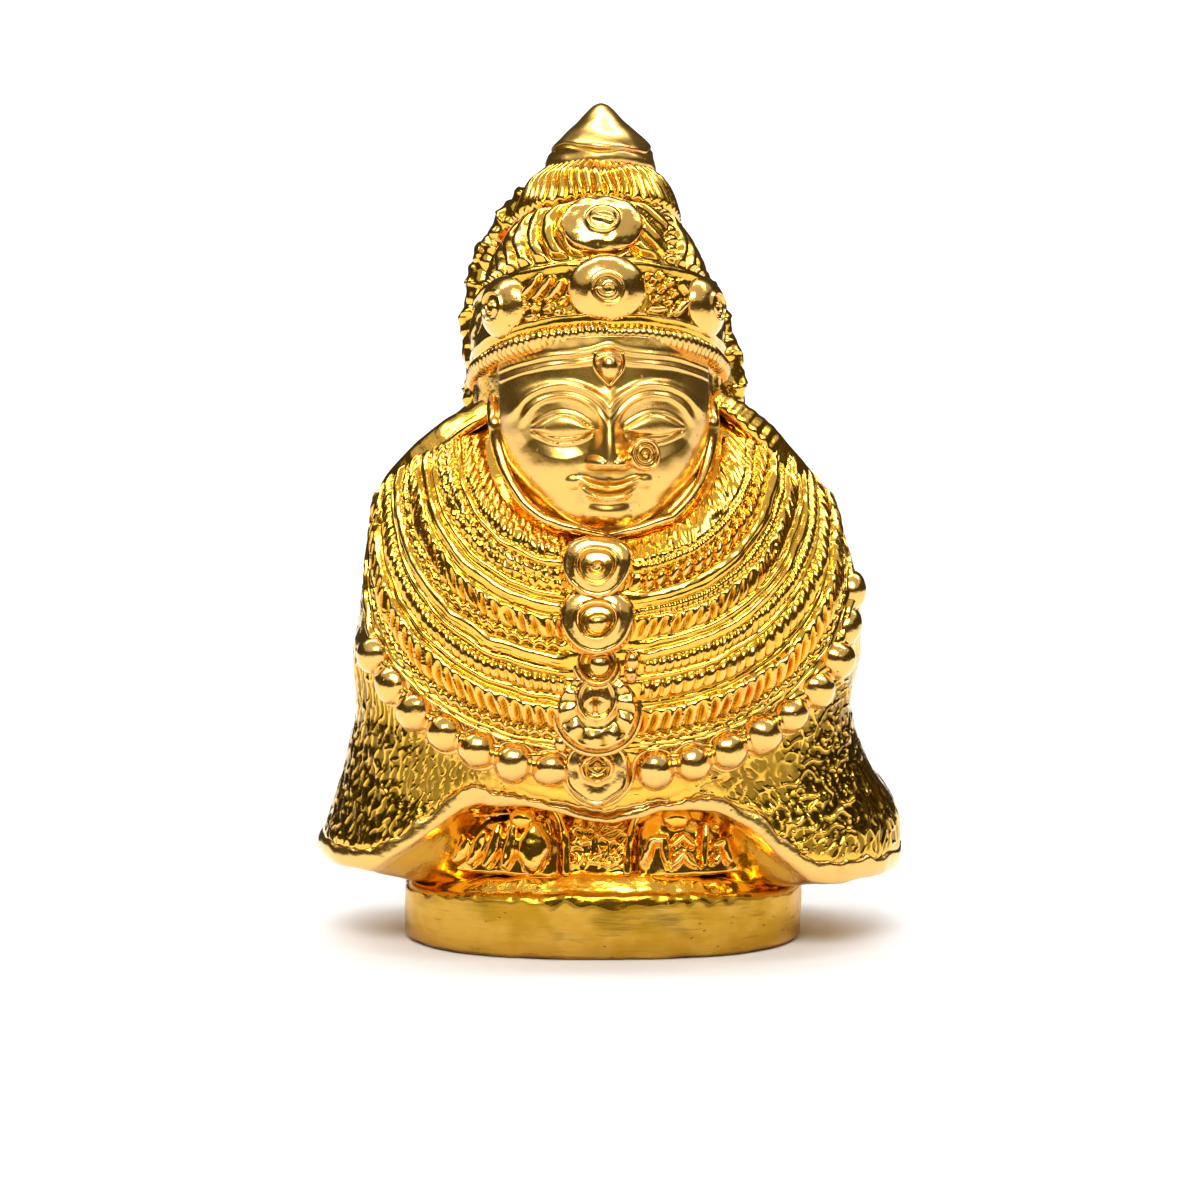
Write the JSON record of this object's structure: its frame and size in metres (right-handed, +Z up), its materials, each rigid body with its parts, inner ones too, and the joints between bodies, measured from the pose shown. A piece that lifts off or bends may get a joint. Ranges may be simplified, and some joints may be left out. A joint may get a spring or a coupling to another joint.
{
  "type": "cast deity figure",
  "caption": "Small gold-plated cast figure of a crowned goddess in a cloak, with rows of necklaces, pendants and a bead garland, on an oval plinth.",
  "frame": {"origin": "on the underside of the plinth, at the middle of the figure's bounding box", "axes": "+Z up to the crown's tip, -Y the way the figure faces, +X to the viewer's right"},
  "size_m": [0.0426, 0.0248, 0.06],
  "materials": {
    "gold_plate": "bright polished gold plate, satin on the plinth's side"
  },
  "bodies": {
    "root": {"lakshmi_figure": "gold_plate"}
  },
  "joints": []
}
